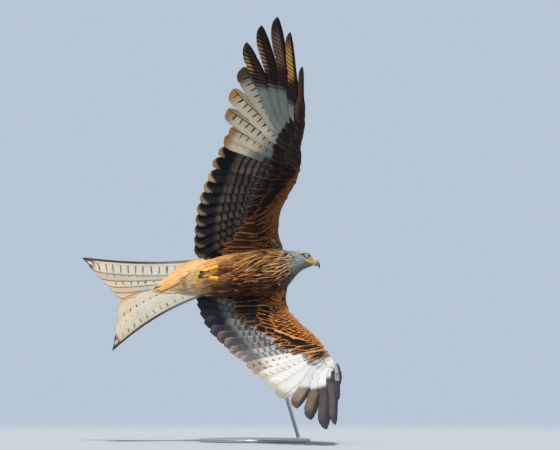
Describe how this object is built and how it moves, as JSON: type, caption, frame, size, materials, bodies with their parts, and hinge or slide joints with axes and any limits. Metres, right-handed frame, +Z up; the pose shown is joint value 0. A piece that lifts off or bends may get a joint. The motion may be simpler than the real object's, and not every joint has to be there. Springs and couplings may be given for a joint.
{
  "type": "red kite in flight on a display stand",
  "caption": "Life-size red kite model in banked flight, wings spread and tail fanned, held by a rod on a round plate.",
  "frame": {"origin": "centre of the base plate's underside, on the floor", "axes": "+Z up; +X the way the bird faces; -Y the side that its belly is turned to"},
  "size_m": [0.6986, 0.6219, 1.1423],
  "materials": {
    "body_plumage": "matte",
    "head_plumage": "matte",
    "wing_plumage": "matte",
    "tail_plumage": "matte",
    "bill_horn": "satin",
    "leg_skin": "satin",
    "claw_horn": "glossy",
    "eye": "glossy",
    "stand_steel": "satin"
  },
  "bodies": {
    "root": {"torso": "body_plumage", "neck": "body_plumage", "head": "head_plumage", "bill_upper": "bill_horn", "bill_lower": "bill_horn", "eye_right": "eye", "eye_left": "eye", "tail": "tail_plumage", "wing_right_arm": "wing_plumage", "wing_right_hand": "wing_plumage", "thigh_right": "body_plumage", "foot_right": "leg_skin", "claw_right_1": "claw_horn", "claw_right_2": "claw_horn", "claw_right_3": "claw_horn", "claw_right_4": "claw_horn", "wing_left_arm": "wing_plumage", "wing_left_hand": "wing_plumage", "thigh_left": "body_plumage", "foot_left": "leg_skin", "claw_left_1": "claw_horn", "claw_left_2": "claw_horn", "claw_left_3": "claw_horn", "claw_left_4": "claw_horn", "stand_base": "stand_steel", "stand_rod": "stand_steel"}
  },
  "joints": []
}
